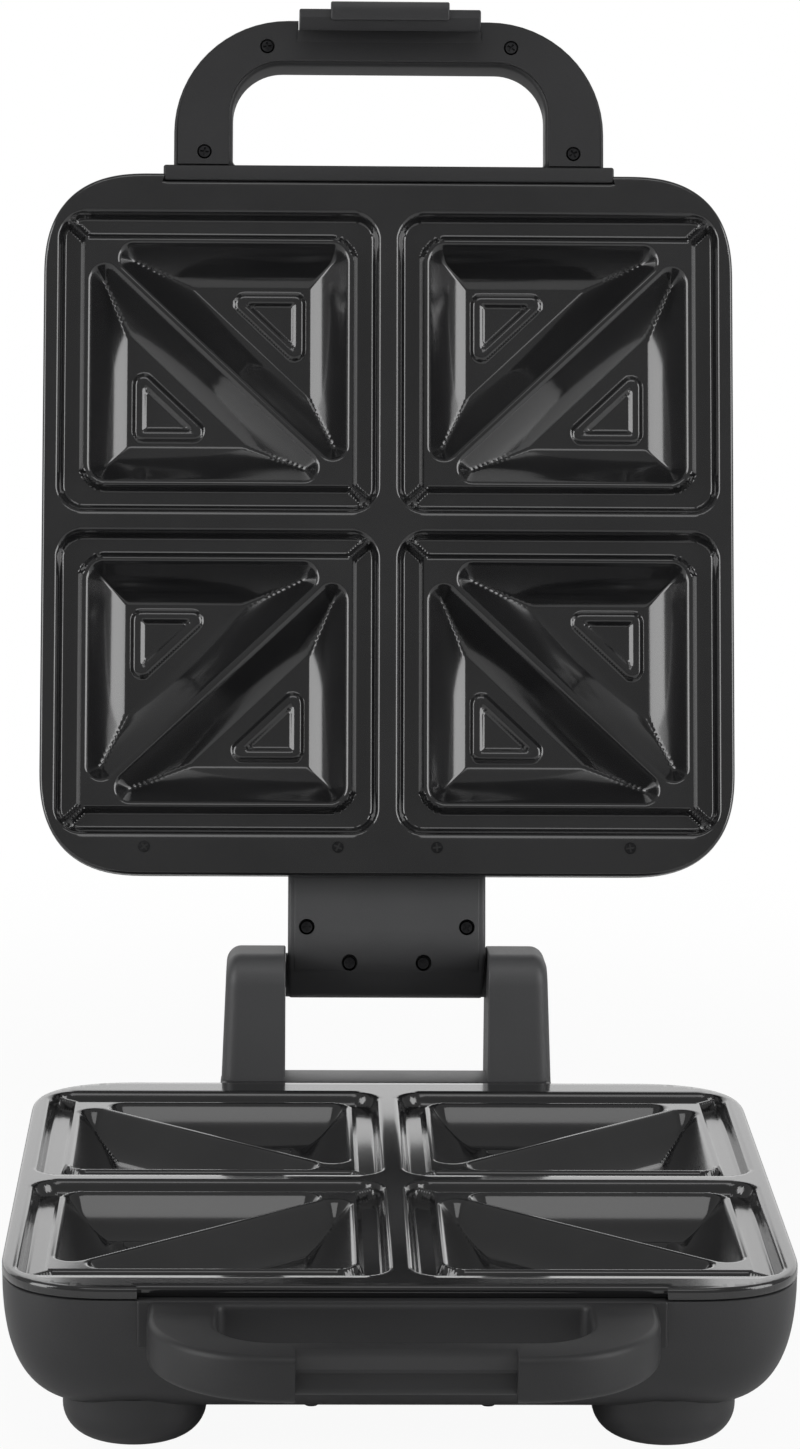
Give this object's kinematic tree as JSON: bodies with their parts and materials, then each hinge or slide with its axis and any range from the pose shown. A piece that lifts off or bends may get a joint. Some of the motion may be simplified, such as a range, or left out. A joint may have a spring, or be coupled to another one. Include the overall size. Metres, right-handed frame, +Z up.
{
  "type": "sandwich toaster",
  "caption": "Open countertop sandwich toaster with a hinged lid, deep pocket plates in lid and base, loop handles with a latch, a central hinge arm between two towers, and round feet.",
  "frame": {"origin": "middle of the open toaster's bounding box, on the table", "axes": "+Z up, -Y to the front where the lower handle is, X across"},
  "size_m": [0.27, 0.4674, 0.4734],
  "materials": {
    "black_plastic": "satin",
    "arm_plastic": "satin",
    "plate_coating": "cast, with a black semi-gloss non-stick coat",
    "bright_steel": "bright zinc",
    "element_sheath": "annealed",
    "reflector_sheet": "mill",
    "black_rubber": "matte",
    "wire_sleeve": "woven sleeve",
    "nylon": "natural",
    "red_lens": "polished",
    "green_lens": "polished",
    "lamp_glass": "clear"
  },
  "bodies": {
    "base": {"base_housing": "black_plastic", "bottom_pan": "black_plastic", "pan_screws": "bright_steel", "foot_front_left": "black_plastic", "foot_front_right": "black_plastic", "foot_rear_left": "black_plastic", "foot_rear_right": "black_plastic", "pad_front_left": "black_rubber", "pad_front_right": "black_rubber", "pad_rear_left": "black_rubber", "pad_rear_right": "black_rubber", "foot_screws": "bright_steel", "base_plate": "plate_coating", "base_plate_screws": "bright_steel", "base_element": "element_sheath", "base_element_clamps": "bright_steel", "base_reflector": "reflector_sheet", "thermostat": "bright_steel", "thermal_fuse": "bright_steel", "terminal_block": "nylon", "base_lead": "wire_sleeve", "base_wiring": "wire_sleeve", "cord_gland": "black_rubber", "cord_clamp": "black_plastic", "cord_clamp_screws": "bright_steel", "base_handle": "black_plastic", "base_handle_cover": "black_plastic", "base_handle_screws": "bright_steel", "tower_cover_left": "black_plastic", "tower_cover_right": "black_plastic", "tower_cover_screws": "bright_steel", "hinge_bush_left": "nylon", "hinge_bush_right": "nylon"},
    "lid": {"lid_cover": "black_plastic", "lid_plate": "plate_coating", "lid_plate_screws": "bright_steel", "lid_element": "element_sheath", "lid_element_clamps": "bright_steel", "lid_reflector": "reflector_sheet", "lid_lead": "wire_sleeve", "lid_handle": "black_plastic", "lid_handle_cover": "black_plastic", "lid_handle_screws": "bright_steel", "hinge_arm_outer": "arm_plastic", "hinge_arm_inner": "arm_plastic", "hinge_arm_screws": "bright_steel", "hinge_pin_left": "bright_steel", "hinge_pin_right": "bright_steel", "power_lens": "red_lens", "ready_lens": "green_lens", "power_lamp": "lamp_glass", "ready_lamp": "lamp_glass", "latch_pin": "bright_steel", "latch_spring": "bright_steel"},
    "latch": {"latch": "black_plastic"}
  },
  "joints": [
    {"name": "lid_hinge", "type": "hinge", "parent": "base", "child": "lid", "pos_m": [0, 0.14113, 0.096], "axis": [1, 0, 0], "range_deg": [0, 106]},
    {"name": "latch_pivot", "type": "hinge", "parent": "lid", "child": "latch", "pos_m": [0, 0.22547, 0.45798], "axis": [-1, 0, 0], "range_deg": [0, 22], "stiffness_Nm_per_rad": 0.05, "springref_deg": -17.19}
  ]
}
